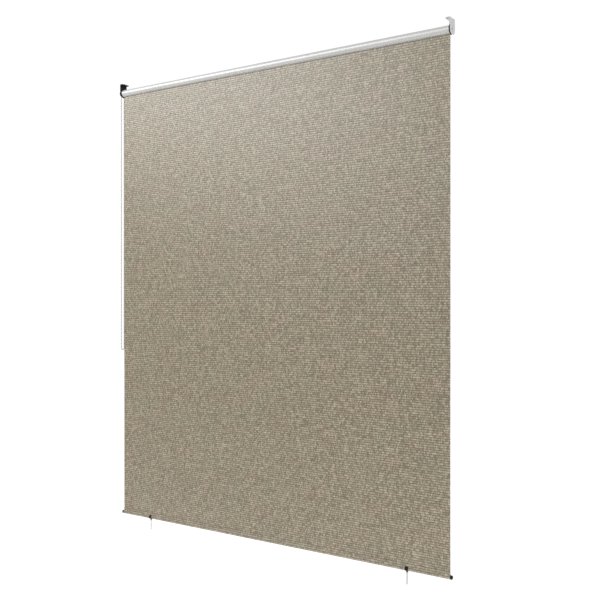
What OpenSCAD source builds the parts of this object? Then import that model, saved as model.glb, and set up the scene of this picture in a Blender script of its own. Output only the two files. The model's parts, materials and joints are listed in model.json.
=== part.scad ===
// Outdoor roller shade: a tube between two top-fixed brackets, driven by a bead chain through a
// wrap-spring clutch, with ribbed outdoor cloth, a weighted hem bar and two tie-down clips.
// Millimetres. X runs along the tube, the room side is -Y, and Z = 0 is the face that the flanges meet.

/* [Cloth] */
// Width of the cloth
fabric_w = 1500; // [700:10:2400]
// Height from the fixing face down to the lowest edge of the hem
drop = 1829; // [1300:1:2600]
// Thickness of the cloth between its ribs
fabric_t = 0.9; // [0.6:0.05:1.2]
// Spacing of the woven ribs
rib_pitch = 8; // [6:0.5:14]
// Height of a rib above the cloth, on each face
rib_h = 0.4; // [0.2:0.05:0.8]
// Height of the sewn strip above the bar's pocket
seam_h = 12; // [8:1:24]

/* [Tube] */
// Outer diameter of the tube
tube_d = 28.6; // [28:0.2:40]
// Wall of the tube
tube_wall = 1.3; // [1:0.1:1.8]
// Depth of the tube's axis below the fixing face
axis_drop = 37; // [34:0.5:60]
// Bare tube beyond the cloth, at each end
tube_overhang = 1.5; // [0.5:0.25:5]
// Diameter of the rod along the cloth's top edge
spline_d = 3; // [2.4:0.1:3.4]
// Wall of the channel that holds this rod
channel_wall = 0.8; // [0.6:0.1:1.2]

/* [Brackets] */
// Thickness of the bracket steel
bracket_t = 2; // [1.5:0.1:3]
// Width of the flanges, and of the idler bracket
bracket_w = 36; // [32:1:44]
// Width of the tongue that carries the clutch
tongue_w = 18; // [17:0.5:22]
// Outer radius of the bend between plate and flange
bend_r = 3.5; // [3.2:0.1:5]
// Reach of a flange inwards past the cloth's edge
flange_in = 12; // [9:0.5:24]
// Distance of the fixing holes inwards from the cloth's edge
hole_in = 4; // [2:0.5:5]
// Diameter of a fixing hole
hole_d = 5; // [4:0.1:6]
// Spacing of the two holes in a flange
hole_pitch = 20; // [16:0.5:22]
// Depth of the turned-in rims of the idler bracket
rim_depth = 3.2; // [2:0.1:4]
// Height of these rims
rim_h = 22; // [10:1:24]

/* [Clutch] */
// Diameter of the fixed spindle
spindle_d = 8; // [7:0.1:8.4]
// Wire of the wrap springs
brake_wire = 1.2; // [0.9:0.1:1.3]
// Turns of a wrap spring, before its tangs
brake_turns = 4; // [3:1:5]
// Wall of the wheel's sleeve
sleeve_wall = 1.6; // [1:0.1:1.8]
// Number of bead pockets round the wheel
pockets = 8; // [8:1:10]
// Wall of the clutch housing
shell_t = 1.5; // [1:0.1:2]
// Thickness of the chain guard
guard_t = 2; // [1.5:0.1:3]
// Thickness of the guard's lip round the left flange
lip_t = 1.5; // [1:0.1:2]
// Thickness of the collars at the tube's ends
collar_t = 3; // [2:0.1:5]
// Diameter of the idler's collar
idler_collar_d = 35; // [28:0.5:36]
// Length of the drive plug inside the tube
plug_l = 26; // [26:0.5:40]

/* [Idler] */
// Diameter of the idler pin
pin_d = 8; // [6:0.1:8.6]
// Travel of the pin against its spring
pin_travel = 7; // [6:0.5:8]
// Length of the pin beyond the idler bracket
pin_proud = 2.2; // [1:0.1:4]
// Wire of the idler spring
idler_wire = 1; // [0.6:0.1:1.2]

/* [Chain] */
// Diameter of a bead
bead_d = 4.5; // [4:0.1:4.8]
// Spacing of the beads
bead_pitch = 6; // [5.8:0.1:7]
// Thickness of the string through the beads
string_d = 1; // [0.6:0.1:1.2]
// Drop of the chain from the tube's axis to the middle of its bight
chain_drop = 1086; // [600:6:1500]

/* [Hem bar] */
// Outer diameter of the bar
bar_d = 11; // [9:0.1:16]
// Wall of the bar
bar_wall = 1; // [0.8:0.1:2]
// Bare bar beyond the cloth, at each end
bar_overhang = 1.5; // [0.5:0.25:3]
// Diameter of the end caps
cap_d = 13.5; // [12:0.1:18]
// Length of a cap beyond the bar
cap_l = 5.8; // [3:0.1:6]

/* [Tie-downs] */
// Distance of a clip from the cloth's edge
clip_inset = 157; // [60:1:300]
// Width of a clip
clip_w = 12; // [8:0.5:20]
// Thickness of a clip
clip_t = 2; // [1.5:0.1:3]
// Diameter of the tie cord
cord_d = 1.6; // [1.2:0.1:1.8]

/* [Hidden] */
$fn = 48;
// Overrun of a cut past the face that it opens
over = 1;
// Sides of a swept wire and of a swept cord
wire_sides = 6;
cord_sides = 8;

// Clearances: pressed pieces, turning fits, pieces that pass each other, and end faces that turn
press_gap = 0.1;
turn_gap = 0.05;
pass_gap = 0.3;
run_gap = 0.5;

// Colours
steel = [0.78, 0.78, 0.77];
black = [0.06, 0.06, 0.06];
bright = [0.88, 0.88, 0.88];
cloth = [0.6, 0.56, 0.48];
white = [0.93, 0.93, 0.9];

// Tube, its channel and the cloth's slot
edge_x = fabric_w / 2;
tube_r = tube_d / 2;
bore_r = tube_r - tube_wall;
spline_gap = 0.25;
channel_r = spline_d / 2 + spline_gap;
channel_depth = bore_r - channel_r;
mouth_w = fabric_t + 2 * pass_gap;

// Clutch radii, from the spindle outwards
spindle_r = spindle_d / 2;
brake_r = spindle_r + pass_gap + brake_wire / 2;
sleeve_in = brake_r + brake_wire / 2 + pass_gap;
sleeve_r = sleeve_in + sleeve_wall;
plug_in = sleeve_r + press_gap;
plug_wall = 1.2;
plug_r = bore_r - press_gap;
lug_in = sleeve_in + 2 * press_gap;

// Chain wheel
bead_r = bead_d / 2;
pocket_step = 360 / pockets;
pitch_r = bead_pitch / (2 * sin(pocket_step / 2));
wheel_cheek = 0.65;
wheel_w = bead_d + 2 * wheel_cheek;
rim_proud = 0.15;
pocket_gap = 0.25;
string_gap = 0.25;
bead_room = 0.9;
outlet_room = 0.6;
chamber_r = pitch_r + bead_r + bead_room;
shell_r = chamber_r + shell_t;

// Stations along the tube's axis, outwards from the cloth's edge
collar_u = tube_overhang + collar_t;
guard_u = collar_u + run_gap;
wheel_u = guard_u + guard_t + pass_gap;
chain_u = wheel_u + wheel_w / 2;
shell_u = wheel_u + wheel_w + pass_gap;
tongue_u = shell_u + shell_t;
bush_flange_t = 1.2;
plate_u = collar_u + run_gap + bush_flange_t;
plug_end_u = tube_overhang - plug_l;

// Rounding of the flanges' inner corners
flange_corner = 5;

// Lip of the chain guard: a tray round the left flange, with room for the heads of the fixing screws
flange_tip = 2;
lip_in = flange_in - flange_tip;
lip_reach = lip_in + guard_u + guard_t;
left_flange_w = bracket_w - 2 * (lip_t + pass_gap);
head_room = hole_d + 4;

// Screws that hold guard, housing and left bracket together
screw_r = 1.5;
screw_tip_gap = 0.2;
guard_skin = 0.6;
screw_head_r = 2.8;
screw_head_t = 1.8;
boss_r = 3.2;
boss_y = 5.4;
boss_drop = 12;
tenon_w = 0.7 * spindle_d;
end_screw_head_r = 4;
end_screw_l = 14;
end_screw_room = 1;

// Wrap springs, side by side on the spindle, with their tangs in the sleeve's window
spring_room = 1;
brake_pitch = brake_wire + press_gap;
tang_angle = 34;
window_angle = 50;
lug_angle = 24;
brake_l = brake_turns * brake_pitch + brake_wire + spring_room;
window_inset = 3;
window_rim = 2;
window_u = wheel_u - window_inset;
window_l = 2 * brake_l + 2 * spring_room;
sleeve_end_u = window_u - window_l - window_rim;
end_wall_t = 3;
hub_end_u = min(plug_end_u, sleeve_end_u - pass_gap - end_wall_t);
clip_ring_t = 1;
clip_ring_w = 2.6;
clip_mouth_angle = 60;
groove_depth = 0.8;
spindle_tip = 2;

// Idler pin, its spring and their cavity in the plug
pin_r = pin_d / 2;
pin_head_t = 2;
bush_r = pin_r + 1.6;
bush_rim = 1.6;
bush_proud = 0.4;
pin_tip = 1;
head_rim = 1.3;
cavity_r = pin_r + head_rim + pass_gap;
shoulder_t = 2.5;
shoulder_u = tube_overhang - shoulder_t;
spring_solid_l = 10;
spring_spare = 3;
idler_spring_l = spring_solid_l + pin_travel + spring_spare;
tail_r = pin_r - idler_wire - 2 * pass_gap;
tail_l = spring_solid_l;
spring_end_u = shoulder_u - pin_head_t - 2 * press_gap - idler_spring_l;
seat_spigot_l = 3;
seat_flange_t = 1.5;
idler_end_u = spring_end_u - seat_spigot_l - press_gap;

// Hem, bar and clips
bar_r = bar_d / 2;
hem_in = bar_r + press_gap;
hem_r = hem_in + fabric_t;
bar_z = -drop + hem_r;
seam_t = 2 * fabric_t + rib_h;
seam_top = bar_z + hem_r + seam_h;
clip_x = edge_x - clip_inset;
clip_r = hem_in + clip_t;
tab_t = 2.5;
eye_r = 1.6;
tab_rim = 1.4;
tab_r = eye_r + tab_rim;
tab_neck = 2.2;
eye_z = bar_z - clip_r - tab_neck;
hitch_r = 2.4;
hitch_z = eye_z - eye_r - tab_rim / 2;
knot_r = 2.4;
knot_z = hitch_z - hitch_r - knot_r / 2;
knot_flat = 1.5;
cord_side = cord_d / 2 + press_gap;

// Right half of a tie cord's loop below its knot, as X and Z
loop_half = [
    [1, -4], [1.1, -9], [1.2, -14], [1.3, -19], [1.4, -24], [1.5, -29], [1.5, -32.5], [1.1, -35]
];
loop_foot = [0, -36];
loop_route = concat(
    [[cord_side, 0]],
    loop_half,
    [loop_foot],
    [for (i = [len(loop_half) - 1:-1:0]) [-loop_half[i][0], loop_half[i][1]]],
    [[-cord_side, 0]]
);

// Placing

// Left-hand frame at a station: local Z points outwards, X up and Y to the wall
module outward(u) {
    translate([-edge_x - u, 0, -axis_drop]) rotate([0, -90, 0]) children();
}

module right_side() {
    mirror([1, 0, 0]) children();
}

// Extrudes a Y-Z outline about the height z from x0 to x1
module along_x(x0, x1, z) {
    translate([x0, 0, z]) rotate([90, 0, 90]) linear_extrude(x1 - x0) children();
}

// Shapes used more than once

module ring_2d(outer_r, inner_r) {
    difference() {
        circle(outer_r);
        circle(inner_r);
    }
}

module sector_2d(half_angle, reach) {
    polygon([[0, 0], [reach * cos(half_angle), -reach * sin(half_angle)],
        [reach * 1.5, 0], [reach * cos(half_angle), reach * sin(half_angle)]]);
}

module rounded_disc(radius, height, edge) {
    rotate_extrude() {
        square([radius - edge, height]);
        square([radius, height - edge]);
        translate([radius - edge, height - edge]) intersection() {
            circle(edge);
            square(edge);
        }
    }
}

function unit(v) = v / norm(v);

// Round bar along a route; guide is a direction that the route never follows
module swept_rod(route, radius, sides, guide) {
    last = len(route) - 1;
    frames = [for (i = [0:last])
        let (t = unit(route[min(i + 1, last)] - route[max(i - 1, 0)]),
            a = unit(guide - (guide * t) * t))
        [a, cross(t, a)]];
    skin = [for (i = [0:last], k = [0:sides - 1])
        route[i] + radius * (cos(360 * k / sides) * frames[i][0] + sin(360 * k / sides) * frames[i][1])];
    walls = [for (i = [0:last - 1], k = [0:sides - 1], half = [0, 1])
        let (a = i * sides + k, b = i * sides + (k + 1) % sides, c = b + sides, d = a + sides)
        half == 0 ? [a, d, c] : [a, c, b]];
    start_face = [[for (k = [0:sides - 1]) k]];
    end_face = [[for (k = [sides - 1:-1:0]) last * sides + k]];
    polyhedron(skin, concat(start_face, walls, end_face), convexity = 6);
}

// Brackets

// Plate outline about the tube's axis: round below, straight up to the bend
module plate_2d(width) {
    circle(d = width);
    translate([0, -width / 2]) square([axis_drop - bend_r, width]);
}

// Flange, bend and plate of folded steel, with the plate's inner face at station u
module folded_bracket(u, plate_w, flange_w) {
    outer_u = u + bracket_t;
    difference() {
        union() {
            outward(u) linear_extrude(bracket_t) plate_2d(plate_w);
            translate([-edge_x - outer_u + bend_r, plate_w / 2, -bend_r])
                rotate([90, 0, 0]) linear_extrude(plate_w) intersection() {
                    ring_2d(bend_r, bend_r - bracket_t);
                    translate([-bend_r, 0]) square(bend_r);
                }
            translate([-edge_x - outer_u + bend_r, -plate_w / 2, -bracket_t])
                cube([outer_u - bend_r + hole_in, plate_w, bracket_t]);
            translate([-edge_x - bend_r / 2, 0, -bracket_t]) linear_extrude(bracket_t)
                flange_2d(flange_in + bend_r / 2, flange_w);
        }
        translate([0, 0, -bracket_t - over]) linear_extrude(bracket_t + 2 * over)
            fixing_places() circle(d = hole_d);
    }
}

module fixing_places() {
    for (y = [-hole_pitch / 2, hole_pitch / 2])
        translate([-edge_x + hole_in, y]) children();
}

// Inner part of a flange, with two rounded corners
module flange_2d(reach, width) {
    corner = flange_corner;
    translate([0, -width / 2]) square([reach - corner, width]);
    translate([0, -width / 2 + corner]) square([reach, width - 2 * corner]);
    for (side = [-1, 1])
        translate([reach - corner, side * (width / 2 - corner)]) circle(corner);
}

module left_bracket() {
    color(steel) difference() {
        folded_bracket(tongue_u, tongue_w, left_flange_w);
        outward(tongue_u - over) linear_extrude(bracket_t + 2 * over) {
            square(tenon_w + 2 * press_gap, center = true);
            screw_places() circle(screw_r + press_gap);
        }
    }
}

module right_bracket() {
    color(steel) right_side() difference() {
        union() {
            folded_bracket(plate_u, bracket_w, bracket_w);
            for (y = [-bracket_w / 2, bracket_w / 2 - bracket_t])
                outward(plate_u - rim_depth) translate([axis_drop - bend_r - rim_h, y, 0])
                    cube([rim_h, bracket_t, rim_depth + bracket_t]);
        }
        outward(plate_u - over) cylinder(r = bush_r, h = bracket_t + 2 * over);
    }
}

module pin_bush() {
    color(bright) right_side() difference() {
        union() {
            outward(plate_u - bush_flange_t) cylinder(r = bush_r + bush_rim, h = bush_flange_t);
            outward(plate_u) cylinder(r = bush_r - press_gap, h = bracket_t + bush_proud);
        }
        outward(plate_u - bush_flange_t - over)
            cylinder(r = pin_r + turn_gap, h = bush_flange_t + bracket_t + bush_proud + 2 * over);
    }
}

// Clutch

module screw_places() {
    for (side = [-1, 1])
        translate([axis_drop - boss_drop, side * boss_y]) children();
}

// Cup round the chain wheel: outer wall with a tongue for the screws, ring wall and chain outlets
module clutch_housing() {
    outlet_w = bead_d + 2 * outlet_room;
    wall_l = shell_u - guard_u - guard_t;
    color(black) difference() {
        union() {
            outward(shell_u) linear_extrude(shell_t) {
                circle(shell_r);
                translate([0, -tongue_w / 2]) square([axis_drop - boss_drop + boss_r, tongue_w]);
            }
            outward(guard_u + guard_t) linear_extrude(wall_l) {
                ring_2d(shell_r, chamber_r);
                screw_places() circle(boss_r);
            }
        }
        for (side = [-1, 1])
            outward(guard_u + guard_t) translate([-shell_r - over, side * pitch_r - outlet_w / 2, -over])
                cube([shell_r + over, outlet_w, wall_l + over]);
        outward(guard_u) linear_extrude(wall_l + guard_t + shell_t + over) {
            square(tenon_w + 2 * press_gap, center = true);
            screw_places() circle(screw_r + press_gap);
        }
    }
}

// Tray under the left flange, with a cheek along its front and back edges
module guard_lip() {
    floor_z = -bracket_t - pass_gap - lip_t;
    bed_w = left_flange_w + 2 * pass_gap;
    difference() {
        translate([-edge_x - guard_u - guard_t, 0, floor_z])
            linear_extrude(bracket_t + lip_t) flange_2d(lip_reach, bracket_w);
        translate([-edge_x - guard_u - guard_t - over, -bed_w / 2, floor_z + lip_t])
            cube([lip_reach + 2 * over, bed_w, bracket_t + pass_gap]);
        translate([0, 0, floor_z - over]) linear_extrude(lip_t + 2 * over)
            fixing_places() circle(d = head_room);
    }
}

// Plate between chain and tube, as wide as the flange and round below the tube
module chain_guard() {
    top = axis_drop - bracket_t - pass_gap;
    color(black) difference() {
        union() {
            outward(guard_u) linear_extrude(guard_t) {
                circle(d = bracket_w);
                translate([0, -bracket_w / 2]) square([top, bracket_w]);
            }
            guard_lip();
        }
        outward(guard_u - over) cylinder(r = sleeve_r + run_gap, h = guard_t + 2 * over);
        outward(guard_u + guard_skin) linear_extrude(guard_t) screw_places() circle(screw_r + turn_gap);
    }
}

module pan_screw(shank_r, shank_l, head_r, head_t) {
    difference() {
        union() {
            translate([0, 0, -shank_l]) cylinder(r = shank_r, h = shank_l);
            rounded_disc(head_r, head_t, head_t / 2);
        }
        translate([0, 0, head_t / 2]) cylinder(r = head_r / 2, h = head_t, $fn = 6);
    }
}

module housing_screws() {
    shank_l = tongue_u + bracket_t - guard_u - guard_skin - screw_tip_gap;
    color(bright) outward(tongue_u + bracket_t) screw_places()
        pan_screw(screw_r, shank_l, screw_head_r, screw_head_t);
}

// Fixed post: square tenon in the bracket, round bearing, groove for the clip
module spindle() {
    groove_u = hub_end_u - pass_gap;
    end_u = groove_u - clip_ring_t - spindle_tip;
    color(bright) difference() {
        union() {
            outward(end_u) cylinder(r = spindle_r, h = shell_u - end_u);
            outward(shell_u) translate([-tenon_w / 2, -tenon_w / 2, 0])
                cube([tenon_w, tenon_w, shell_t + bracket_t - press_gap]);
        }
        outward(groove_u - clip_ring_t) linear_extrude(clip_ring_t)
            ring_2d(spindle_r + over, spindle_r - groove_depth);
        outward(tongue_u + bracket_t - end_screw_l) cylinder(r = screw_r + turn_gap, h = end_screw_l);
    }
}

module spindle_screw() {
    color(bright) outward(tongue_u + bracket_t)
        pan_screw(screw_r, end_screw_l - end_screw_room, end_screw_head_r, screw_head_t);
}

// Open ring that snaps into the spindle's groove
module spindle_clip() {
    color(bright) outward(hub_end_u - pass_gap - clip_ring_t) linear_extrude(clip_ring_t) difference() {
        ring_2d(spindle_r - groove_depth + clip_ring_w, spindle_r - groove_depth + turn_gap);
        sector_2d(clip_mouth_angle, spindle_d);
    }
}

// Pocketed wheel and the windowed sleeve that works the wrap springs, moulded as one
module chain_wheel() {
    groove_w = string_d + 2 * string_gap;
    color(black) difference() {
        union() {
            outward(wheel_u) cylinder(r = pitch_r + rim_proud, h = wheel_w);
            outward(sleeve_end_u) linear_extrude(wheel_u - sleeve_end_u) ring_2d(sleeve_r, sleeve_in);
        }
        outward(wheel_u - over) cylinder(r = spindle_r + turn_gap, h = wheel_w + 2 * over);
        outward(window_u - window_l) linear_extrude(window_l) sector_2d(window_angle, 2 * sleeve_r);
        outward(chain_u - groove_w / 2) linear_extrude(groove_w)
            ring_2d(pitch_r + bead_r, pitch_r - string_d / 2 - string_gap);
        for (i = [0:pockets - 1])
            outward(chain_u) rotate(90 + i * pocket_step) translate([pitch_r, 0, 0]) rotate([0, 90, 0])
                sphere(bead_r + pocket_gap);
    }
}

function brake_point(angle, radius, along) = [radius * cos(angle), radius * sin(angle), along];

// Close-wound spring with both ends turned out into the sleeve's window
module wrap_spring() {
    steps = 16;
    sweep = 360 * brake_turns + 2 * tang_angle;
    count = round(steps * sweep / 360);
    tang_r = sleeve_in + sleeve_wall / 2;
    coil = [for (i = [1:count - 1])
        brake_point(-tang_angle + sweep * i / count, brake_r, brake_pitch * sweep / 360 * i / count)];
    swept_rod(
        concat(
            [brake_point(-tang_angle, tang_r, 0), brake_point(-tang_angle, brake_r + brake_wire, 0)],
            coil,
            [brake_point(tang_angle, brake_r + brake_wire, brake_pitch * sweep / 360),
                brake_point(tang_angle, tang_r, brake_pitch * sweep / 360)]
        ),
        brake_wire / 2, wire_sides, [0, 0, 1]
    );
}

module wrap_springs() {
    color(bright) for (i = [0, 1])
        outward(window_u - window_l + spring_room + brake_wire / 2 + i * brake_l) wrap_spring();
}

// Ribbed shell that fits the tube's bore, cut clear of the channel
module plug_ribs(inner_r, end_u) {
    rib_w = 2.4;
    ribs = 8;
    difference() {
        outward(end_u) linear_extrude(tube_overhang - end_u) {
            ring_2d(inner_r + plug_wall, inner_r);
            for (i = [0:ribs - 1])
                rotate((i + 0.5) * 360 / ribs) translate([inner_r + plug_wall / 2, -rib_w / 2])
                    square([plug_r - plug_wall / 2 - inner_r - plug_wall / 2, rib_w]);
            ring_2d(plug_r, plug_r - plug_wall);
        }
        outward(end_u - over) translate([-channel_depth, 0, 0])
            cylinder(r = channel_r + channel_wall + press_gap, h = tube_overhang - end_u + over);
        outward(end_u - over) translate([-bore_r, -channel_r - channel_wall - press_gap, 0])
            cube([bore_r - channel_depth, 2 * (channel_r + channel_wall + press_gap),
                tube_overhang - end_u + over]);
    }
}

// Tube plug at the clutch end: collar, ribbed shell, lug between the tangs and end bearing
module drive_plug() {
    lug_u = window_u - window_l + spring_room;
    color(black) {
        outward(tube_overhang) linear_extrude(collar_t) ring_2d(tube_r, plug_in);
        plug_ribs(plug_in, hub_end_u);
        outward(lug_u) linear_extrude(tube_overhang - lug_u) intersection() {
            ring_2d(plug_in + plug_wall / 2, lug_in);
            sector_2d(lug_angle, 2 * plug_in);
        }
        outward(hub_end_u) linear_extrude(end_wall_t) ring_2d(plug_in + plug_wall / 2, spindle_r + turn_gap);
    }
}

// Tube and cloth

module roller_tube() {
    color(bright) along_x(-edge_x - tube_overhang, edge_x + tube_overhang, -axis_drop) difference() {
        union() {
            ring_2d(tube_r, bore_r);
            intersection() {
                translate([0, -channel_depth]) circle(channel_r + channel_wall);
                circle(tube_r - tube_wall / 2);
            }
        }
        translate([0, -channel_depth]) circle(channel_r);
        translate([-mouth_w / 2, -tube_r - over]) square([mouth_w, tube_r + over - channel_depth]);
    }
}

module fabric_spline() {
    color(white) along_x(-edge_x, edge_x, -axis_drop - channel_depth) circle(spline_d / 2);
}

// Woven cloth: flat where it enters the tube, then a row of ribs on both faces down to the hem
module shade_fabric() {
    plain_h = 2;
    top = -axis_drop - channel_depth - spline_d / 2 - pass_gap;
    foot = seam_top + pass_gap;
    ribs_top = -axis_drop - tube_r - plain_h;
    ribs = floor((ribs_top - foot) / rib_pitch);
    half = fabric_t / 2;
    rib_shape = [[0, 0], [0.25, rib_h], [0.75, rib_h]];
    face = concat(
        [[half, top]],
        [for (i = [0:ribs - 1], step = rib_shape)
            [half + step[1], ribs_top - (i + step[0]) * rib_pitch]],
        [[half, ribs_top - ribs * rib_pitch], [half, foot]]
    );
    back = [for (i = [len(face) - 1:-1:0]) [-face[i][0], face[i][1]]];
    color(cloth) along_x(-edge_x, edge_x, 0) polygon(concat(face, back));
}

// Pocket sewn round the bar, open at the clips, with a double-stitched strip above
module hem_pocket() {
    stitch_w = 1;
    stitch_depth = 0.25;
    stitch_in = 3;
    color(cloth) {
        difference() {
            along_x(-edge_x, edge_x, bar_z) ring_2d(hem_r, hem_in);
            for (side = [-1, 1])
                along_x(side * clip_x - clip_w / 2 - pass_gap, side * clip_x + clip_w / 2 + pass_gap, bar_z)
                    difference() {
                        circle(hem_r + over);
                        translate([-seam_t / 2, 0]) square([seam_t, 2 * hem_r]);
                    }
        }
        along_x(-edge_x, edge_x, bar_z) difference() {
            translate([-seam_t / 2, hem_r - fabric_t / 2]) square([seam_t, seam_h + fabric_t / 2]);
            for (side = [-1, 1], level = [stitch_in, seam_h - stitch_in])
                translate([side * seam_t / 2, hem_r + level])
                    square([2 * stitch_depth, stitch_w], center = true);
        }
    }
}

// Hem bar and tie-downs

module bottom_bar() {
    end_x = edge_x + bar_overhang;
    color(bright) along_x(-end_x, end_x, bar_z) ring_2d(bar_r, bar_r - bar_wall);
}

module end_cap() {
    spigot_l = 16;
    spigot_wall = 1.2;
    edge = 1.5;
    spigot_r = bar_r - bar_wall - press_gap;
    translate([-edge_x - bar_overhang, 0, bar_z]) rotate([0, -90, 0]) {
        rounded_disc(cap_d / 2, cap_l, edge);
        difference() {
            translate([0, 0, -spigot_l]) cylinder(r = spigot_r, h = spigot_l);
            translate([0, 0, -spigot_l - over]) cylinder(r = spigot_r - spigot_wall, h = spigot_l);
        }
    }
}

module left_end_cap() {
    color(black) end_cap();
}

module right_end_cap() {
    color(black) right_side() end_cap();
}

// Open ring snapped on the bar, with an eyed tab below
module clip_at(x) {
    translate([x, 0, 0]) {
        along_x(-clip_w / 2, clip_w / 2, bar_z) difference() {
            ring_2d(clip_r, hem_in);
            translate([-seam_t / 2 - run_gap, 0]) square([seam_t + 2 * run_gap, 2 * clip_r]);
        }
        translate([0, tab_t / 2, 0]) rotate([90, 0, 0]) linear_extrude(tab_t) difference() {
            union() {
                translate([-tab_r, eye_z]) square([2 * tab_r, bar_z - hem_in - clip_t / 2 - eye_z]);
                translate([0, eye_z]) circle(tab_r);
            }
            translate([0, eye_z]) circle(eye_r);
        }
    }
}

module left_clip() {
    color(black) clip_at(-clip_x);
}

module right_clip() {
    color(black) clip_at(clip_x);
}

// Hitch through the clip's eye, drawn tight into a knot
module knot_at(x) {
    translate([x, 0, 0]) {
        translate([0, 0, hitch_z]) rotate([0, 90, 0]) rotate_extrude()
            translate([hitch_r, 0]) circle(cord_d / 2);
        translate([0, 0, knot_z]) intersection() {
            sphere(knot_r);
            translate([-knot_r, -knot_r, -knot_flat]) cube([2 * knot_r, 2 * knot_r, knot_flat + knot_r]);
        }
    }
}

module left_knot() {
    color(white) knot_at(-clip_x);
}

module right_knot() {
    color(white) knot_at(clip_x);
}

module tie_cord_at(x) {
    translate([x, 0, knot_z - knot_flat])
        swept_rod([for (p = loop_route) [p[0], 0, p[1]]], cord_d / 2, cord_sides, [0, 1, 0]);
}

module left_tie_cord() {
    color(white) tie_cord_at(-clip_x);
}

module right_tie_cord() {
    color(white) tie_cord_at(clip_x);
}

// Idler

module idler_plug() {
    color(black) right_side() {
        difference() {
            outward(tube_overhang) cylinder(d = idler_collar_d, h = collar_t);
            outward(tube_overhang - over) cylinder(r = pin_r + press_gap, h = collar_t + 2 * over);
        }
        plug_ribs(cavity_r, idler_end_u);
        outward(shoulder_u) linear_extrude(tube_overhang - shoulder_u)
            ring_2d(cavity_r + plug_wall / 2, pin_r + press_gap);
    }
}

// Pin with a head behind the shoulder and a tail that guides the spring
module idler_pin() {
    out_u = plate_u + bracket_t + pin_proud;
    head_u = shoulder_u - press_gap - pin_head_t;
    color(bright) right_side() {
        outward(out_u - pin_tip) cylinder(r1 = pin_r, r2 = pin_r - pin_tip, h = pin_tip);
        outward(shoulder_u - press_gap) cylinder(r = pin_r, h = out_u - pin_tip - shoulder_u + press_gap);
        outward(head_u) cylinder(r = pin_r + head_rim, h = pin_head_t);
        outward(head_u - tail_l) cylinder(r = tail_r, h = tail_l);
    }
}

module idler_spring() {
    steps = 12;
    turns = 7;
    coil_r = pin_r;
    climb = idler_spring_l - idler_wire - 2 * press_gap;
    color(bright) right_side() outward(spring_end_u + press_gap + idler_wire / 2) swept_rod(
        [for (i = [0:steps * turns]) brake_point(360 * i / steps, coil_r, climb * i / (steps * turns))],
        idler_wire / 2, wire_sides, [0, 0, 1]
    );
}

module spring_seat() {
    color(black) right_side() {
        outward(idler_end_u) cylinder(r = cavity_r - press_gap, h = spring_end_u - idler_end_u);
        outward(idler_end_u - seat_flange_t) cylinder(r = cavity_r + plug_wall, h = seat_flange_t);
    }
}

// Chain

// Beads on a string down from first to last, counted in pitches below the tube's axis
module strand(y, first, last) {
    translate([-edge_x - chain_u, y, -axis_drop]) rotate_extrude() intersection() {
        union() {
            for (i = [first:last])
                translate([0, -i * bead_pitch]) circle(bead_r);
            translate([0, -last * bead_pitch]) square([string_d / 2, (last - first) * bead_pitch]);
        }
        translate([0, -(last + 1) * bead_pitch]) square([bead_d, (last + 2) * bead_pitch]);
    }
}

// Half turn of beads at the wheel's pitch radius, up over the top
module bead_arc(first, last) {
    rotate_extrude(angle = 180) translate([pitch_r, 0]) circle(string_d / 2);
    for (i = [first:last])
        rotate(i * pocket_step) translate([pitch_r, 0, 0]) sphere(bead_r);
}

module chain_on_wheel() {
    color(white) outward(chain_u) rotate(-90) bead_arc(0, floor(pockets / 2));
}

module bead_chain() {
    pitches = round(chain_drop / bead_pitch);
    color(white) {
        strand(-pitch_r, 2, pitches);
        strand(pitch_r, 2, pitches);
        translate([-edge_x - chain_u, 0, -axis_drop - pitches * bead_pitch]) rotate([0, -90, 0]) rotate(90)
            bead_arc(1, floor(pockets / 2) - 1);
    }
}

left_bracket();
right_bracket();
clutch_housing();
chain_guard();
housing_screws();
spindle();
spindle_screw();
spindle_clip();
pin_bush();
chain_wheel();
wrap_springs();
drive_plug();
roller_tube();
fabric_spline();
idler_plug();
spring_seat();
idler_spring();
idler_pin();
chain_on_wheel();
bead_chain();
shade_fabric();
hem_pocket();
bottom_bar();
left_end_cap();
right_end_cap();
left_clip();
right_clip();
left_knot();
right_knot();
left_tie_cord();
right_tie_cord();
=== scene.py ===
import json
from math import ceil, cos, floor, pi, radians, sin, tan, tau

import bpy
import numpy as np
from mathutils import Matrix, Vector


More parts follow.
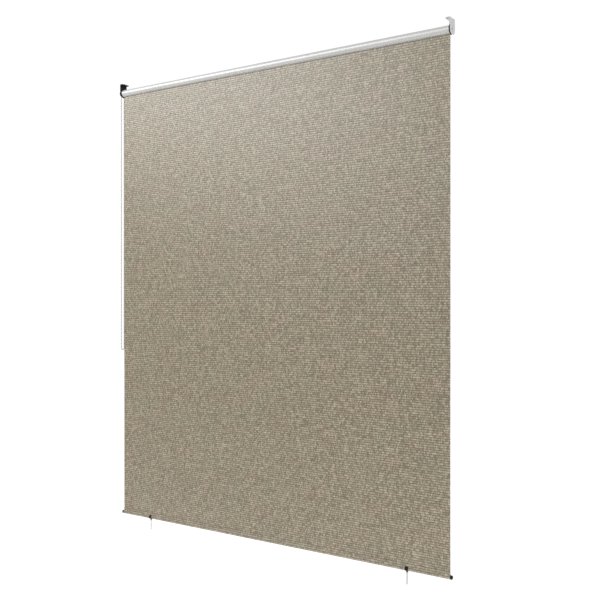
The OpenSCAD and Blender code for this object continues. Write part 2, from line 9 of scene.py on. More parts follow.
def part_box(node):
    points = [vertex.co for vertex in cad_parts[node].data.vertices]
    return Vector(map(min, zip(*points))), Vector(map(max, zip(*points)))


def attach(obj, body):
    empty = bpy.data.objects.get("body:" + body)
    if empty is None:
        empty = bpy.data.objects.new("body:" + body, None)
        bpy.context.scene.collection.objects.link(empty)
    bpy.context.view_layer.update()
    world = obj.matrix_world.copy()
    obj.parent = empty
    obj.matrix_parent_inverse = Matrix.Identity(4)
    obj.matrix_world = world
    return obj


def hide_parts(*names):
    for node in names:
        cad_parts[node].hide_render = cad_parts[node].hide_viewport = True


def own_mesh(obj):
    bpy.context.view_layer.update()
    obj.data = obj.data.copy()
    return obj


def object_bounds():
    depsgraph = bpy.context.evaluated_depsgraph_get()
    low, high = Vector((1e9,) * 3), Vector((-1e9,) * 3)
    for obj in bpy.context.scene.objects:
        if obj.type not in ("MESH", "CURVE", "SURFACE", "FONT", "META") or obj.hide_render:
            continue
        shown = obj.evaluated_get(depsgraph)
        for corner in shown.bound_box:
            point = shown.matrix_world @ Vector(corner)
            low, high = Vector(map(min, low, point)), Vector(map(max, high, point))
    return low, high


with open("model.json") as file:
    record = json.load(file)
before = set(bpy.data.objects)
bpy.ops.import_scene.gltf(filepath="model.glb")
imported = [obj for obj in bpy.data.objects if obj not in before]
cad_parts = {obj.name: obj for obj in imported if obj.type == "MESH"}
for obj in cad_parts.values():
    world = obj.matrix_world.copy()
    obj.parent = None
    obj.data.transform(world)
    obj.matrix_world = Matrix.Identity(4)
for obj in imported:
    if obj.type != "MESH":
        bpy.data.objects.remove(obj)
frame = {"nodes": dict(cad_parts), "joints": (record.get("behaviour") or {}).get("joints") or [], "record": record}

CAD_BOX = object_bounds()

# Units, in metres
MM = 0.001

# Places read from the frame
PANEL_LO, PANEL_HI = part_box("shade_fabric")
HEM_LO, HEM_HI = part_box("hem_pocket")
BAR_LO, BAR_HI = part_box("bottom_bar")
TUBE_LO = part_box("roller_tube")[0]
CHAIN_LO, CHAIN_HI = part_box("bead_chain")
CLIP_LO, CLIP_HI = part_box("right_clip")
KNOT_LO, KNOT_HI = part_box("right_knot")

# Camera, from the photograph's perspective
CAMERA_AT = (1.8673, -2.5150, -0.9186)
CAMERA_TURN = radians(34.212)
CAMERA_LENS = 49.857
CAMERA_SENSOR = 36
CAMERA_NEAR = 0.05

# Cloth
CLOTH_T = 0.9 * MM
RIB_PITCH = 8 * MM
RIB_RISE = 0.4 * MM
RIBS_TOP = TUBE_LO.z - 2 * MM
RIB_STEPS = 5
PANEL_COLUMNS = 38
CLOTH_SEED = 11
RIB_UNEVEN = 0.16
FLOAT_L = 4 * MM
TICK_L = 5 * MM
FOLD_GAP = 0.7 * MM

# Bar pocket
BAR_Z = (BAR_LO.z + BAR_HI.z) / 2
POCKET_R = HEM_HI.y
POCKET_IN = POCKET_R - CLOTH_T
SEAM_HALF = 1.1 * MM
SEAM_INNER = 0.05 * MM
POCKET_OPENS = radians(50)
SEAM_STEPS = 14
SLOPE_STEPS = 6
ROUND_STEPS = 22
NOTCH_HALF = (CLIP_HI.x - CLIP_LO.x) / 2 + 0.3 * MM
CLIP_X = (CLIP_LO.x + CLIP_HI.x) / 2
HEM_COLUMNS = 60

# Sewing
STITCH_PITCH = 4.2 * MM
STITCH_L = 3.4 * MM
STITCH_D = 0.6 * MM
STITCH_SINK = 0.05 * MM
STITCH_ROWS = (BAR_Z + 10.2 * MM, HEM_HI.z - 2 * MM)

# Chain
BEAD_D = CHAIN_HI.x - CHAIN_LO.x
BEAD_PITCH = 6 * MM
COLLAR_AT = BEAD_D * 0.44
COLLAR_INSET = BEAD_D * 0.05
COLLAR_RISE = BEAD_D * 0.04
STRING_D = 1 * MM
STRING_SIDES = 8
CHAIN_X = (CHAIN_LO.x + CHAIN_HI.x) / 2
CHAIN_R = CHAIN_HI.y - BEAD_D / 2
CHAIN_TOP = CHAIN_HI.z - BEAD_D / 2
CHAIN_FOOT = CHAIN_LO.z + BEAD_D / 2 + CHAIN_R
BIGHT_STEPS = 12
BIGHT_BEADS = 4

# Tie cords, with half of a loop below its knot as X and Z in millimetres
CORD_D = 1.6 * MM
CORD_SIDES = 12
LOOP_HALF = [
    (0.95, 0), (1, -4), (1.1, -9), (1.2, -14), (1.3, -19),
    (1.4, -24), (1.5, -29), (1.5, -32.5), (1.1, -35), (0, -36),
]
CORD_TOP = KNOT_LO.z
CURVE_STEPS = 24
BRAID_STEP = 0.45 * MM
BRAID_PITCH = 5 * MM
BRAID_TURNS = 3
BRAID_RISE = 0.13
HITCH_R = 2.4 * MM
HITCH_Z = KNOT_HI.z - HITCH_R - CORD_D / 2
HITCH_STEPS = 40
KNOT_SIZE = 0.78 * MM
KNOT_Z = KNOT_LO.z + 1.9 * MM
KNOT_FOLD = 1.35
KNOT_DEEP = 1.05
KNOT_TALL = 0.85
KNOT_STEPS = 90

# Studio
FLOOR_Z = CAD_BOX[0][2] - 0.25
FLOOR_HALF = 9.0
FLOOR_GREY_TO = -3.0
FLOOR_WHITE_FROM = -0.5
SKY_FRONT = 0.69
SKY_BEHIND = 1.02
LAMP_SIZE = (2.8, 0.8)
LAMP_AT = (-1.9, -2.2, 0.85)
LAMP_AIM = (-0.3, 0.0, -0.3)
LAMP_POWER = 15
LAMP_SPREAD = radians(90)
LAMP_COLOUR = (0.96, 0.98, 1.0)


def start_clean():
    """Leave edit mode and deselect every object."""
    if bpy.context.object and bpy.context.object.mode != "OBJECT":
        bpy.ops.object.mode_set(mode="OBJECT")
    bpy.ops.object.select_all(action="DESELECT")


def add_object(name, mesh):
    """A mesh as an object of the scene, at the origin."""
    obj = bpy.data.objects.new(name, mesh)
    bpy.context.scene.collection.objects.link(obj)
    return obj


def smooth(obj, angle=40):
    """Shade an object smooth, apart from edges sharper than the angle."""
    start_clean()
    bpy.context.view_layer.objects.active = obj
    obj.select_set(True)
    bpy.ops.object.shade_smooth_by_angle(angle=radians(angle))
    start_clean()


def outward_faces(obj):
    """Turn a closed mesh's faces outwards."""
    start_clean()
    bpy.context.view_layer.objects.active = obj
    obj.select_set(True)
    bpy.ops.object.mode_set(mode="EDIT")
    bpy.ops.mesh.select_all(action="SELECT")
    bpy.ops.mesh.normals_make_consistent(inside=False)
    bpy.ops.object.mode_set(mode="OBJECT")
    start_clean()


def dress(obj, material, slot, body, *nodes):
    """Give a piece its finish and the body that it rides on. The slot is not used."""
    obj.data.materials.clear()
    obj.data.materials.append(material)
    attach(obj, body)
    if nodes:
        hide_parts(*nodes)
    return obj


def travel_of(joint):
    """How far a sliding joint goes."""
    return next(j for j in frame["joints"] if j["name"] == joint)["range_m"][1]


def route_runs(route):
    """How far along a route each of its points lies."""
    return np.concatenate([[0], np.cumsum(np.linalg.norm(np.diff(route, axis=0), axis=1))])


# Finishes
class Wire:
    """A shader socket that can be used in sums and products."""

    def __init__(self, shader, socket):
        self.shader = shader
        self.socket = socket

    def _math(self, operation, other, turned=False):
        first, second = (other, self) if turned else (self, other)
        return self.shader.node("ShaderNodeMath", {"operation": operation}, {0: first, 1: second})

    def __add__(self, other):
        return self._math("ADD", other)

    def __sub__(self, other):
        return self._math("SUBTRACT", other)

    def __rsub__(self, other):
        return self._math("SUBTRACT", other, True)

    def __mul__(self, other):
        return self._math("MULTIPLY", other)

    def __truediv__(self, other):
        return self._math("DIVIDE", other)

    def __pow__(self, other):
        return self._math("POWER", other)

    __radd__ = __add__
    __rmul__ = __mul__


class Shader:
    """A node tree that is wired up by expressions."""

    def __init__(self, tree):
        self.tree = tree

    def join(self, socket, value):
        """Put a wire or a plain value into a socket."""
        if isinstance(value, Wire):
            self.tree.links.new(value.socket, socket)
        else:
            socket.default_value = value

    def node(self, kind, settings=None, inputs=None, output=0):
        """Add a node with its settings and sockets, and give one of its outputs."""
        made = self.tree.nodes.new(kind)
        for name, value in (settings or {}).items():
            if name == "stops":
                self.set_stops(made.color_ramp, value)
            else:
                setattr(made, name, value)
        for key, value in (inputs or {}).items():
            self.join(made.inputs[key], value)
        return Wire(self, made.outputs[output])

    @staticmethod
    def set_stops(ramp, stops):
        """Set a ramp's places and colours."""
        while len(ramp.elements) < len(stops):
            ramp.elements.new(1)
        for element, (place, colour) in zip(ramp.elements, stops):
            element.position = place
            element.color = (*colour, 1)

    def coordinates(self, kind):
        """Texture coordinates of one kind."""
        return self.node("ShaderNodeTexCoord", output=kind)

    def parts(self, vector):
        """The X, Y and Z of a vector."""
        made = self.tree.nodes.new("ShaderNodeSeparateXYZ")
        self.join(made.inputs[0], vector)
        return [Wire(self, socket) for socket in made.outputs]

    def vector(self, x, y, z=0.0):
        """A vector from three values."""
        return self.node("ShaderNodeCombineXYZ", None, {0: x, 1: y, 2: z})

    def noise(self, vector, scale, detail=2.0, roughness=0.5):
        """Soft noise from 0 to 1."""
        return self.node("ShaderNodeTexNoise", None, {
            "Vector": vector, "Scale": scale, "Detail": detail, "Roughness": roughness,
        })

    def stretch(self, vector, scale):
        """A vector scaled by three factors."""
        return self.node("ShaderNodeVectorMath", {"operation": "MULTIPLY"}, {0: vector, 1: scale})

    def ramp(self, value, stops):
        """A colour read from a value."""
        return self.node("ShaderNodeValToRGB", {"stops": stops}, {0: value})

    def mix(self, share, first, second, blend="MIX"):
        """A colour between two."""
        settings = {"data_type": "RGBA", "blend_type": blend}
        return self.node("ShaderNodeMix", settings, {0: share, 6: first, 7: second}, 2)

    def fit(self, value, low, high, to_low=0.0, to_high=1.0):
        """A value's stretch from low to high, eased onto another."""
        settings = {"interpolation_type": "SMOOTHSTEP"}
        return self.node("ShaderNodeMapRange", settings, {0: value, 1: low, 2: high, 3: to_low, 4: to_high})

    def whole(self, value):
        """A value rounded down."""
        return self.node("ShaderNodeMath", {"operation": "FLOOR"}, {0: value})

    def wave(self, value):
        """The sine of a value."""
        return self.node("ShaderNodeMath", {"operation": "SINE"}, {0: value})

    def chance(self, x, y):
        """A chance value from 0 to 1 for each whole X and Y."""
        settings = {"noise_dimensions": "2D"}
        return self.node("ShaderNodeTexWhiteNoise", settings, {"Vector": self.vector(x, y)})


class Finish(Shader):
    """A material with one surface, whose constant sockets are set by name."""

    def __init__(self, name, **constants):
        self.material = bpy.data.materials.new(name)
        self.material.use_nodes = True
        super().__init__(self.material.node_tree)
        self.tree.nodes.clear()
        self.surface = self.tree.nodes.new("ShaderNodeBsdfPrincipled")
        output = self.tree.nodes.new("ShaderNodeOutputMaterial")
        self.tree.links.new(self.surface.outputs[0], output.inputs["Surface"])
        for socket, value in constants.items():
            self.surface.inputs[socket.replace("_", " ")].default_value = value

    def set(self, socket, value):
        """Wire a value into one of the surface's sockets."""
        self.join(self.surface.inputs[socket], value)

    def places(self):
        """The object's own coordinates."""
        return self.coordinates("Object")

    def bump(self, height, strength, distance):
        """Raise the surface by a height."""
        self.set("Normal", self.node("ShaderNodeBump", None, {
            "Height": height, "Strength": strength, "Distance": distance,
        }))


def cloth_finish(name, follows_uv):
    """Woven rows of coated yarn in mixed sand, taupe and grey."""
    finish = Finish(name, Specular_IOR_Level=1.0)
    if follows_uv:
        along, down, _ = finish.parts(finish.coordinates("UV"))
    else:
        along, _, down = finish.parts(finish.places())
    flat = finish.vector(along, down)
    waver = finish.noise(finish.stretch(flat, (14, 60, 1)), 1.0, 1.0) - 0.5
    row_at = (down - RIBS_TOP) / RIB_PITCH + waver * 0.12
    row = finish.whole(row_at)
    across = row_at - row
    crown = finish.wave(across * pi) ** 0.7

    # Yarn that floats over a few warps in each row
    shift = finish.chance(row, 3.0) * 17
    drift = finish.noise(finish.vector(along * 40, row * 7), 1.0, 1.0) * 1.8
    float_at = along / FLOAT_L + shift + drift
    float_no = finish.whole(float_at)
    along_float = float_at - float_no
    lift = finish.wave(along_float * pi) ** 0.5
    batch = finish.noise(finish.vector(along * 25, row * 5), 1.0, 1.0)
    tone = finish.chance(float_no, row) * 0.9 + batch * 0.1
    yarn = finish.ramp(tone, [
        (0.05, (0.150, 0.117, 0.068)), (0.25, (0.248, 0.198, 0.123)), (0.50, (0.335, 0.275, 0.178)),
        (0.75, (0.415, 0.348, 0.236)), (0.95, (0.545, 0.474, 0.349)),
    ])

    # Painted shade in the valleys between the rows, deeper or shallower in short ticks along each valley
    between = finish.whole(row_at + 0.5)
    tick_at = along / TICK_L + finish.chance(between, 8.0) * 23
    tick = finish.chance(finish.whole(tick_at), between + 0.5)
    shaded_valley = finish.fit(crown, 0.94, 0.40)
    painted_valley_shade = shaded_valley * finish.fit(tick, 0.1, 0.9, 0.50, 1.0)
    woven = finish.mix(painted_valley_shade, yarn, (0.070, 0.054, 0.031, 1))
    # Painted shade where each float dips under the warps at its ends
    woven = finish.mix((1 - lift) * 0.35, woven, (0.115, 0.090, 0.054, 1))

    # Fibres, and patches that are warmer or greener
    fibre = finish.noise(finish.stretch(flat, (300, 1500, 1)), 1.0, 2.0, 0.6)
    woven = finish.mix(finish.fit(fibre, 0.3, 0.7, 0.0, 0.2), woven, (0.43, 0.37, 0.27, 1))
    patch = finish.noise(finish.stretch(flat, (9, 12, 1)), 1.0, 2.0, 0.5)
    tint = finish.ramp(patch, [(0.36, (1.03, 0.985, 0.985)), (0.64, (0.975, 1.015, 0.985))])
    woven = finish.mix(1.0, woven, tint, "MULTIPLY")
    finish.set("Base Color", woven)
    finish.set("Roughness", 0.42 + fibre * 0.06)
    height = crown * 0.55 + lift * crown * 0.35 + fibre * 0.1
    finish.bump(height, 0.12, 0.6 * MM)
    return finish.material


def thread_finish():
    """Sewing thread a shade darker than the cloth."""
    finish = Finish("thread", Roughness=0.7, Specular_IOR_Level=0.3)
    twist = finish.noise(finish.places(), 2600.0, 1.0)
    finish.set("Base Color", finish.ramp(twist, [(0.3, (0.08, 0.065, 0.04)), (0.7, (0.15, 0.125, 0.085))]))
    return finish.material


def paint_finish():
    """Light grey powder coat with a fine orange peel."""
    finish = Finish("powder_coat", Specular_IOR_Level=0.45)
    places = finish.places()
    peel = finish.noise(places, 900.0, 2.0)
    cloud = finish.noise(places, 45.0, 2.0)
    finish.set("Base Color", finish.ramp(cloud, [(0.3, (0.555, 0.557, 0.555)), (0.7, (0.615, 0.617, 0.612))]))
    finish.set("Roughness", 0.36 + peel * 0.16)
    finish.bump(peel, 0.18, 0.25 * MM)
    return finish.material


def plastic_finish():
    """Black moulded plastic with a fine spark-eroded grain."""
    finish = Finish("black_plastic", Specular_IOR_Level=0.2)
    places = finish.places()
    grain = finish.noise(places, 1700.0, 3.0, 0.65)
    cloud = finish.noise(places, 60.0, 2.0)
    blacks = [(0.3, (0.006, 0.006, 0.0063)), (0.75, (0.012, 0.012, 0.0125))]
    finish.set("Base Color", finish.ramp(cloud, blacks))
    finish.set("Roughness", 0.42 + grain * 0.25)
    finish.bump(grain, 0.22, 0.2 * MM)
    return finish.material


def steel_finish():
    """Bright zinc plate, faintly blue and yellow."""
    finish = Finish("zinc_plate", Metallic=1.0)
    places = finish.places()
    cloud = finish.noise(places, 120.0, 3.0)
    finish.set("Base Color", finish.ramp(cloud, [(0.3, (0.57, 0.585, 0.61)), (0.7, (0.66, 0.645, 0.60))]))
    finish.set("Roughness", 0.24 + finish.noise(places, 800.0) * 0.16)
    return finish.material


def aluminium_finish():
    """Satin aluminium with faint lines along its length."""
    finish = Finish("satin_aluminium", Metallic=0.4)
    places = finish.places()
    lines = finish.noise(finish.stretch(places, (6, 1900, 1900)), 1.0, 3.0, 0.6)
    cloud = finish.noise(finish.stretch(places, (8, 40, 40)), 1.0, 2.0)
    finish.set("Base Color", finish.ramp(cloud, [(0.3, (0.60, 0.595, 0.585)), (0.7, (0.66, 0.655, 0.645))]))
    finish.set("Roughness", 0.40 + lines * 0.16)
    finish.bump(lines, 0.1, 0.1 * MM)
    return finish.material


def bead_finish():
    """White moulded plastic, a little uneven."""
    finish = Finish("white_plastic", Specular_IOR_Level=0.4)
    places = finish.places()
    cloud = finish.noise(places, 210.0, 2.0)
    finish.set("Base Color", finish.ramp(cloud, [(0.3, (0.42, 0.417, 0.405)), (0.7, (0.50, 0.497, 0.485))]))
    finish.set("Roughness", 0.3 + cloud * 0.15)
    return finish.material


def cord_finish():
    """Grey braid, with the strands' crossing lines along its own length and painted shade in the grooves between
    the strands.
    """
    finish = Finish("braided_cord", Specular_IOR_Level=0.25)
    along, around, _ = finish.parts(finish.coordinates("UV"))
    left = finish.wave(along * (tau / BRAID_PITCH) + around * (BRAID_TURNS * tau))
    right = finish.wave(along * (tau / BRAID_PITCH) - around * (BRAID_TURNS * tau))
    crossing = finish.node("ShaderNodeMath", {"operation": "MAXIMUM"}, {0: left, 1: right})
    fibre = finish.noise(finish.vector(along * 2500, around * 40), 1.0, 2.0)
    strand = finish.fit(crossing, 0.1, 0.9) * 0.8 + fibre * 0.2
    # Painted shade: the base colour darkens in the grooves between the strands
    finish.set("Base Color", finish.ramp(strand, [(0.1, (0.16, 0.16, 0.155)), (0.8, (0.36, 0.36, 0.35))]))
    finish.set("Roughness", 0.7 + fibre * 0.2)
    finish.bump(strand, 0.4, 0.15 * MM)
    return finish.material


# Camera
def add_camera():
    """The photograph's level view from the right."""
    data = bpy.data.cameras.new("camera")
    data.lens = CAMERA_LENS
    data.sensor_width = CAMERA_SENSOR
    data.clip_start = CAMERA_NEAR
    camera = bpy.data.objects.new("camera", data)
    camera.location = CAMERA_AT
    camera.rotation_euler = (pi / 2, 0, CAMERA_TURN)
    bpy.context.scene.collection.objects.link(camera)
    bpy.context.scene.camera = camera


# Cords
def smooth_route(points, step):
    """Points at even steps along a smooth curve through the given points."""
    points = np.array(points, float)
    dense = []
    for i in range(len(points) - 1):
        before = points[max(i - 1, 0)]
        after = points[min(i + 2, len(points) - 1)]
        for t in np.linspace(0, 1, CURVE_STEPS, endpoint=False):
            a = 2 * points[i]
            b = (points[i + 1] - before) * t
            c = (2 * before - 5 * points[i] + 4 * points[i + 1] - after) * t ** 2
            d = (3 * points[i] - before - 3 * points[i + 1] + after) * t ** 3
            dense.append((a + b + c + d) / 2)
    dense.append(points[-1])
    dense = np.array(dense)
    run = route_runs(dense)
    count = max(2, ceil(run[-1] / step))
    even = np.linspace(0, run[-1], count + 1)
    return np.stack([np.interp(even, run, dense[:, k]) for k in range(3)], axis=1)


def route_frames(route, closed):
    """Two directions across the route at each of its points, carried along without twist."""
    count = len(route)
    if closed:
        ahead = np.roll(route, -1, axis=0) - np.roll(route, 1, axis=0)
    else:
        ahead = np.gradient(route, axis=0)
    ahead /= np.linalg.norm(ahead, axis=1)[:, None]
    guide = np.array([1.0, 0.0, 0.0]) if abs(ahead[0][0]) < 0.9 else np.array([0.0, 1.0, 0.0])
    sides = []
    for i in range(count):
        guide = guide - ahead[i] * guide.dot(ahead[i])
        guide /= np.linalg.norm(guide)
        sides.append(guide)
    sides = np.array(sides)
    return sides, np.cross(ahead, sides)


def swept_cord(name, route, radius, around=CORD_SIDES, braid=BRAID_RISE, closed=False):
    """A round cord along a route, its surface raised into a braid, with a map of its length and girth."""
    side, lift = route_frames(route, closed)
    count = len(route)
    run = route_runs(route)
    turn = np.arange(around) / around * tau
    left = np.sin(run[:, None] * tau / BRAID_PITCH + BRAID_TURNS * turn[None, :])
    right = np.sin(run[:, None] * tau / BRAID_PITCH - BRAID_TURNS * turn[None, :])
    size = radius * (1 - braid + braid * np.clip(np.maximum(left, right), 0, 1))
    ring = route[:, None, :] + size[:, :, None] * (
        np.cos(turn)[None, :, None] * side[:, None, :] + np.sin(turn)[None, :, None] * lift[:, None, :]
    )
    verts = [tuple(p) for p in ring.reshape(-1, 3)]
    faces = []
    maps = []
    for i in range(count if closed else count - 1):
        j = (i + 1) % count
        for k in range(around):
            m = (k + 1) % around
            faces.append((i * around + k, i * around + m, j * around + m, j * around + k))
            low, high = k / around, (k + 1) / around
            reach = run[j] if j else run[i] + BRAID_STEP
            maps += [(run[i], low), (run[i], high), (reach, high), (reach, low)]
    if not closed:
        faces.append(tuple(range(around)))
        faces.append(tuple((count - 1) * around + k for k in range(around)))
        maps += [(run[0], 0.5)] * around + [(run[-1], 0.5)] * around
    mesh = bpy.data.meshes.new(name)
    mesh.from_pydata(verts, [], faces)
    layer = mesh.uv_layers.new(name="length")
    layer.data.foreach_set("uv", np.array(maps, np.float32).ravel())
    obj = add_object(name, mesh)
    outward_faces(obj)
    smooth(obj, 70)
    return obj


def join_pieces(name, pieces):
    """Several objects as one."""
    start_clean()
    for piece in pieces:
        piece.select_set(True)
    bpy.context.view_layer.objects.active = pieces[0]
    bpy.ops.object.join()
    joined = bpy.context.view_layer.objects.active
    joined.name = name
    joined.data.name = name
    start_clean()
    return joined


def tie_cord(side, x, material):
    """A loop of braided cord below its knot, and the knot in the clip's eye."""
    half = [(px, 0, pz) for px, pz in LOOP_HALF]
    points = half + [(-px, 0, pz) for px, _, pz in reversed(half[:-1])]
    route = smooth_route([(x + p[0] * MM, 0, CORD_TOP + p[2] * MM) for p in points], BRAID_STEP)
    cord = swept_cord(side + "_tie_loop", route, CORD_D / 2)
    dress(cord, material, "tie_cord", "rail", side + "_tie_cord")
    knot = tie_knot(side, x, material)


def tie_knot(side, x, material):
    """A hitch through the clip's eye, drawn into an overhand knot."""
    turn = np.linspace(0, tau, HITCH_STEPS, endpoint=False)
    hitch = np.stack([0 * turn + x, HITCH_R * np.sin(turn), HITCH_Z + HITCH_R * np.cos(turn)], axis=1)
    ring = swept_cord(side + "_hitch", hitch, CORD_D / 2, closed=True)
    turn = np.linspace(0, tau, KNOT_STEPS, endpoint=False)
    over = np.stack([
        x + KNOT_SIZE * (np.sin(turn) + KNOT_FOLD * np.sin(2 * turn)),
        KNOT_SIZE * KNOT_DEEP * np.sin(3 * turn),
        KNOT_Z + KNOT_SIZE * KNOT_TALL * (np.cos(turn) - KNOT_FOLD * np.cos(2 * turn)),
    ], axis=1)
    bend = swept_cord(side + "_bend", over, CORD_D / 2, closed=True)
    knot = join_pieces(side + "_tie_knot", [ring, bend])
    return dress(knot, material, "tie_cord", "rail", side + "_knot")


def chain_bead():
    """One bead: a ball with a short collar at each end, along Z."""
    start_clean()
    bpy.ops.mesh.primitive_uv_sphere_add(segments=10, ring_count=6, radius=BEAD_D / 2)
    bead = bpy.context.object
    bpy.ops.object.mode_set(mode="EDIT")
    for end in (1, -1):
        bpy.ops.mesh.select_all(action="SELECT")
        bpy.ops.mesh.bisect(
            plane_co=(0, 0, end * COLLAR_AT), plane_no=(0, 0, end), use_fill=True, clear_outer=True,
        )
        bpy.ops.mesh.inset(thickness=COLLAR_INSET, depth=COLLAR_RISE)
    bpy.ops.object.mode_set(mode="OBJECT")
    mesh = bead.data
    verts = np.array([v.co for v in mesh.vertices])
    faces = [tuple(p.vertices) for p in mesh.polygons]
    bpy.data.objects.remove(bead)
    return verts, faces


def repeat_shape(name, shape, places):
    """One mesh with the shape at each of the places."""
    verts, faces = shape
    all_verts = []
    all_faces = []
    for i, place in enumerate(places):
        turned = verts @ np.array(place.to_3x3()).T + np.array(place.translation)
        all_verts += [tuple(p) for p in turned]
        start = i * len(verts)
        all_faces += [tuple(start + k for k in face) for face in faces]
    mesh = bpy.data.meshes.new(name)
    mesh.from_pydata(all_verts, [], all_faces)
    return add_object(name, mesh)


def chain_route():
    """Points down the front strand, round the bight and up the back strand."""
    drop = round((CHAIN_TOP - CHAIN_FOOT) / BEAD_PITCH)
    front = [(CHAIN_X, -CHAIN_R, CHAIN_TOP - i * BEAD_PITCH) for i in range(drop + 1)]
    bight = []
    for i in range(1, BIGHT_STEPS):
        turn = pi * i / BIGHT_STEPS
        bight.append((CHAIN_X, -CHAIN_R * cos(turn), CHAIN_FOOT - CHAIN_R * sin(turn)))
    back = [(x, -y, z) for x, y, z in reversed(front)]
    return front, bight, back


def bead_chain(material):
    """The free loop of bead chain below the clutch."""
    front, bight, back = chain_route()
    route = np.array(front + bight + back)
    places = [Matrix.Translation(p) for p in front + back]
    every = BIGHT_STEPS // BIGHT_BEADS
    for i in range(every, BIGHT_STEPS, every):
        turn = pi * i / BIGHT_STEPS
        places.append(Matrix.Translation(bight[i - 1]) @ Matrix.Rotation(turn, 4, "X"))
    beads = repeat_shape("beads", chain_bead(), places)
    outward_faces(beads)
    smooth(beads, 60)
    string = swept_cord("string", route, STRING_D / 2, STRING_SIDES, braid=0)
    chain = join_pieces("bead_chain_loop", [beads, string])
    dress(chain, material, "white_chain", "fixed", "bead_chain")


# Cloth
def thick_sheet(name, outer, inner, columns, is_open=None, uneven=None):
    """A sheet of cloth between an outer and an inner line of Y, Z and run, drawn along the columns of X."""
    rows = len(outer)
    wide = len(columns)
    verts = []
    for line in (outer, inner):
        for i, x in enumerate(columns):
            for j, (y, z, _) in enumerate(line):
                shift = uneven(i, j) if uneven else 0.0
                verts.append((x, y * (1 + shift), z))
    side = wide * rows
    solid = np.ones((wide + 1, rows + 1), bool)
    solid[0, :] = solid[-1, :] = False
    solid[:, 0] = solid[:, -1] = False
    if is_open:
        for i in range(wide - 1):
            for j in range(rows - 1):
                solid[i + 1, j + 1] = not is_open((columns[i] + columns[i + 1]) / 2, j)
    faces = []
    for i in range(wide - 1):
        for j in range(rows - 1):
            if not solid[i + 1, j + 1]:
                continue
            a, b, c, d = i * rows + j, (i + 1) * rows + j, (i + 1) * rows + j + 1, i * rows + j + 1
            faces.append((a, b, c, d))
            faces.append((side + d, side + c, side + b, side + a))
            for gone, p, q in (
                (not solid[i, j + 1], a, d), (not solid[i + 2, j + 1], c, b),
                (not solid[i + 1, j], b, a), (not solid[i + 1, j + 2], d, c),
            ):
                if gone:
                    faces.append((p, q, side + q, side + p))
    used = sorted({k for face in faces for k in face})
    number = {k: n for n, k in enumerate(used)}
    mesh = bpy.data.meshes.new(name)
    mesh.from_pydata([verts[k] for k in used], [], [tuple(number[k] for k in face) for face in faces])
    run = [(columns[(k % side) // rows], outer[k % rows][2]) for k in used]
    layer = mesh.uv_layers.new(name="weave")
    corners = np.zeros(len(mesh.loops), np.int32)
    mesh.loops.foreach_get("vertex_index", corners)
    layer.data.foreach_set("uv", np.array(run, np.float32)[corners].ravel())
    obj = add_object(name, mesh)
    outward_faces(obj)
    smooth(obj, 50)
    return obj


def panel_lines():
    """The panel's front and back, row by row from the tube down."""
    front = [(-CLOTH_T / 2, PANEL_HI.z)]
    count = floor((RIBS_TOP - PANEL_LO.z) / RIB_PITCH)
    for i in range(count):
        for step in range(RIB_STEPS):
            share = step / RIB_STEPS
            front.append((-CLOTH_T / 2 - RIB_RISE * sin(pi * share), RIBS_TOP - (i + share) * RIB_PITCH))
    front.append((-CLOTH_T / 2, RIBS_TOP - count * RIB_PITCH))
    front.append((-CLOTH_T / 2, PANEL_LO.z))
    outer = [(y, z, z) for y, z in front]
    return outer, [(-y, z, z) for y, z, _ in outer]


def shade_panel(material):
    """The woven panel that hangs from the tube."""
    outer, inner = panel_lines()
    columns = np.linspace(PANEL_LO.x, PANEL_HI.x, PANEL_COLUMNS + 1)
    chance = np.random.default_rng(CLOTH_SEED)
    rib_share = chance.uniform(-RIB_UNEVEN, 0.0, (len(columns), len(outer) // RIB_STEPS + 2))

    def uneven(column, row):
        return rib_share[column, (row + RIB_STEPS - 1) // RIB_STEPS]

    panel = thick_sheet("shade_panel", outer, inner, columns, uneven=uneven)
    dress(panel, material, "shade_cloth", "fixed", "shade_fabric")
    top = TUBE_LO.z - FOLD_GAP
    keep = 1 - travel_of("rail_lift") / (top - PANEL_LO.z)
    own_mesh(panel)


def ribbed(points):
    """An outer line of Y and Z with the rows' ribs pressed into it, with its run."""
    line = []
    run = points[0][1]
    for i, (y, z) in enumerate(points):
        if i:
            run -= ((y - points[i - 1][0]) ** 2 + (z - points[i - 1][1]) ** 2) ** 0.5
        before = points[max(i - 1, 0)]
        after = points[min(i + 1, len(points) - 1)]
        ahead = Vector((after[0] - before[0], after[1] - before[1])).normalized()
        share = (RIBS_TOP - run) / RIB_PITCH
        dip = RIB_RISE * (1 - abs(sin(pi * share)))
        line.append((y + ahead.y * dip, z - ahead.x * dip, run))
    return line


def pocket_line(radius, half):
    """One face of the hem's section: down the seam, round the bar and up again."""
    neck_y = -radius * sin(POCKET_OPENS)
    neck_z = BAR_Z + radius * cos(POCKET_OPENS)
    seam_z = neck_z + (-half - neck_y) * tan(POCKET_OPENS)
    points = [(-half, z) for z in np.linspace(HEM_HI.z, seam_z, SEAM_STEPS)]
    for share in np.linspace(0, 1, SLOPE_STEPS)[1:]:
        points.append((-half + (neck_y + half) * share, seam_z + (neck_z - seam_z) * share))
    for turn in np.linspace(POCKET_OPENS, pi, ROUND_STEPS)[1:]:
        points.append((-radius * sin(turn), BAR_Z + radius * cos(turn)))
    return points + [(-y, z) for y, z in reversed(points[:-1])]


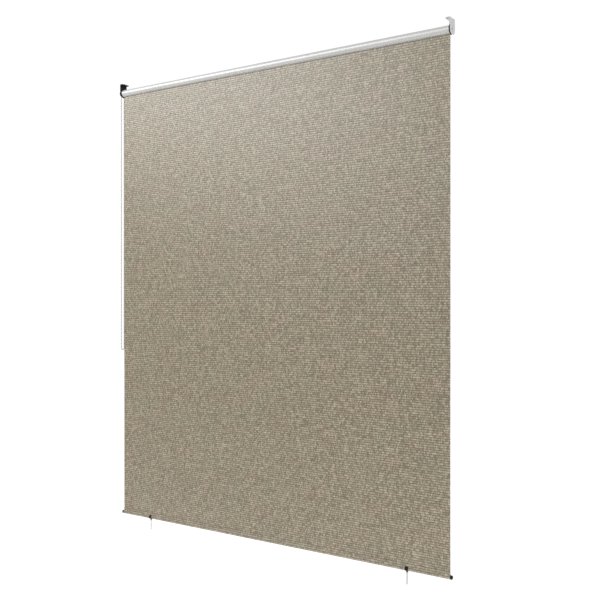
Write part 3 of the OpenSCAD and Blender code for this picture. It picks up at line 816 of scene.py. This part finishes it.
def bar_pocket(material):
    """The cloth's lower end, folded round the bar and sewn, cut away where the clips hold the bar."""
    outer = ribbed(pocket_line(POCKET_R, SEAM_HALF))
    runs = [run for _, _, run in outer]
    inner = [(y, z, run) for (y, z), run in zip(pocket_line(POCKET_IN, SEAM_INNER), runs)]
    ends = [HEM_LO.x, HEM_HI.x]
    for x in (-CLIP_X, CLIP_X):
        ends += [x - NOTCH_HALF, x + NOTCH_HALF]
    columns = sorted(set(np.linspace(HEM_LO.x, HEM_HI.x, HEM_COLUMNS + 1)) | set(ends))

    below_seam = range(SEAM_STEPS - 1, len(outer) - SEAM_STEPS)

    def is_open(x, row):
        return abs(abs(x) - CLIP_X) < NOTCH_HALF and row in below_seam

    pocket = thick_sheet("bar_pocket", outer, inner, columns, is_open)
    dress(pocket, material, "shade_cloth", "rail", "hem_pocket")
    return pocket, runs[0] - runs[-1]


def hem_stitching(material):
    """Rows of stitches on both faces of the seam."""
    start_clean()
    bpy.ops.mesh.primitive_uv_sphere_add(segments=6, ring_count=5, radius=STITCH_D / 2)
    stitch = bpy.context.object
    bpy.ops.object.mode_set(mode="EDIT")
    bpy.ops.transform.resize(value=(1, 0.8, 1))
    bpy.ops.object.mode_set(mode="OBJECT")
    verts = np.array([v.co for v in stitch.data.vertices])
    verts[:, 0] += np.sign(np.round(verts[:, 0], 6)) * (STITCH_L - STITCH_D) / 2
    faces = [tuple(p.vertices) for p in stitch.data.polygons]
    bpy.data.objects.remove(stitch)
    count = floor((HEM_HI.x - HEM_LO.x) / STITCH_PITCH) - 1
    places = []
    for z in STITCH_ROWS:
        for face in (-1, 1):
            for i in range(count):
                x = (i - (count - 1) / 2) * STITCH_PITCH
                places.append(Matrix.Translation((x, face * (SEAM_HALF - STITCH_SINK), z)))
    row = repeat_shape("hem_stitching", (verts, faces), places)
    outward_faces(row)
    smooth(row, 60)
    return dress(row, material, "shade_cloth", "rail")


# CAD pieces that keep their shape
def dress_cad(finishes):
    """Give each CAD piece that shows the finish of its material slot."""
    for part in frame["record"]["subparts"]:
        node = frame["nodes"].get(part["node"])
        finish = finishes.get(part["material_slot"])
        if node and finish and not node.hide_render:
            node.data.materials.clear()
            node.data.materials.append(finish)


def press_spring():
    """Give the idler spring a mesh of its own, and work out the share of its length that stays when the pin is
    pressed in.
    """
    low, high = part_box("idler_spring")
    keep = 1 - travel_of("pin_press") / (high.x - low.x)
    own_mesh(frame["nodes"]["idler_spring"])


# Studio
def floor_finish():
    """A pale floor, light grey in front of the shade and white behind it, where it glows as painted light."""
    finish = Finish("floor", Roughness=0.9, Specular_IOR_Level=0.0, Emission_Strength=1.0)
    _, ahead, _ = finish.parts(finish.places())
    behind = finish.fit(ahead, FLOOR_GREY_TO, FLOOR_WHITE_FROM)
    finish.set("Base Color", finish.ramp(behind, [(0, (0.70, 0.70, 0.70)), (1, (0.9, 0.9, 0.9))]))
    # Painted light: the floor behind the shade glows, though it is no lamp
    finish.set("Emission Color", finish.ramp(behind, [(0, (0, 0, 0)), (1, (0.5, 0.5, 0.5))]))
    return finish.material


def studio_sky():
    """An even light, white low down behind the shade and pale grey elsewhere."""
    world = bpy.data.worlds.new("studio")
    world.use_nodes = True
    sky = Shader(world.node_tree)
    _, ahead, up = sky.parts(sky.coordinates("Generated"))
    low = sky.fit(up * up, 0.5, 0.22)
    white = sky.fit(ahead, -0.05, 0.3) * low
    light = sky.ramp(white, [(0, (SKY_FRONT,) * 3), (1, (SKY_BEHIND,) * 3)])
    sky.join(sky.tree.nodes["Background"].inputs["Color"], light)
    return world


def add_studio():
    """A pale floor that glows white behind the shade, an even sky and one long soft lamp at the front left."""
    start_clean()
    bpy.ops.mesh.primitive_plane_add(size=2 * FLOOR_HALF, location=(0, 0, FLOOR_Z))
    floor_plane = bpy.context.object
    floor_plane.name = "studio_floor"
    bpy.ops.object.transform_apply(location=True, rotation=True, scale=True)
    floor_plane.data.materials.append(floor_finish())
    bpy.context.scene.world = studio_sky()
    bpy.context.scene.view_settings.view_transform = "Standard"

    lamp_data = bpy.data.lights.new("key_lamp", "AREA")
    lamp_data.shape = "RECTANGLE"
    lamp_data.size, lamp_data.size_y = LAMP_SIZE
    lamp_data.energy = LAMP_POWER
    lamp_data.spread = LAMP_SPREAD
    lamp_data.color = LAMP_COLOUR
    lamp = bpy.data.objects.new("key_lamp", lamp_data)
    lamp.location = LAMP_AT
    lamp.rotation_euler = (Vector(LAMP_AIM) - Vector(LAMP_AT)).to_track_quat("-Z", "Y").to_euler()
    bpy.context.scene.collection.objects.link(lamp)


add_camera()
cord = cord_finish()
white = bead_finish()
bead_chain(white)
tie_cord("left", -CLIP_X, cord)
tie_cord("right", CLIP_X, cord)

shade_panel(cloth_finish("woven_panel", False))
pocket, pocket_length = bar_pocket(cloth_finish("woven_hem", True))
stitching = hem_stitching(thread_finish())

dress_cad({
    "bracket_paint": paint_finish(),
    "black_plastic": plastic_finish(),
    "plated_steel": steel_finish(),
    "tube_aluminium": aluminium_finish(),
    "white_chain": white,
})
press_spring()
add_studio()
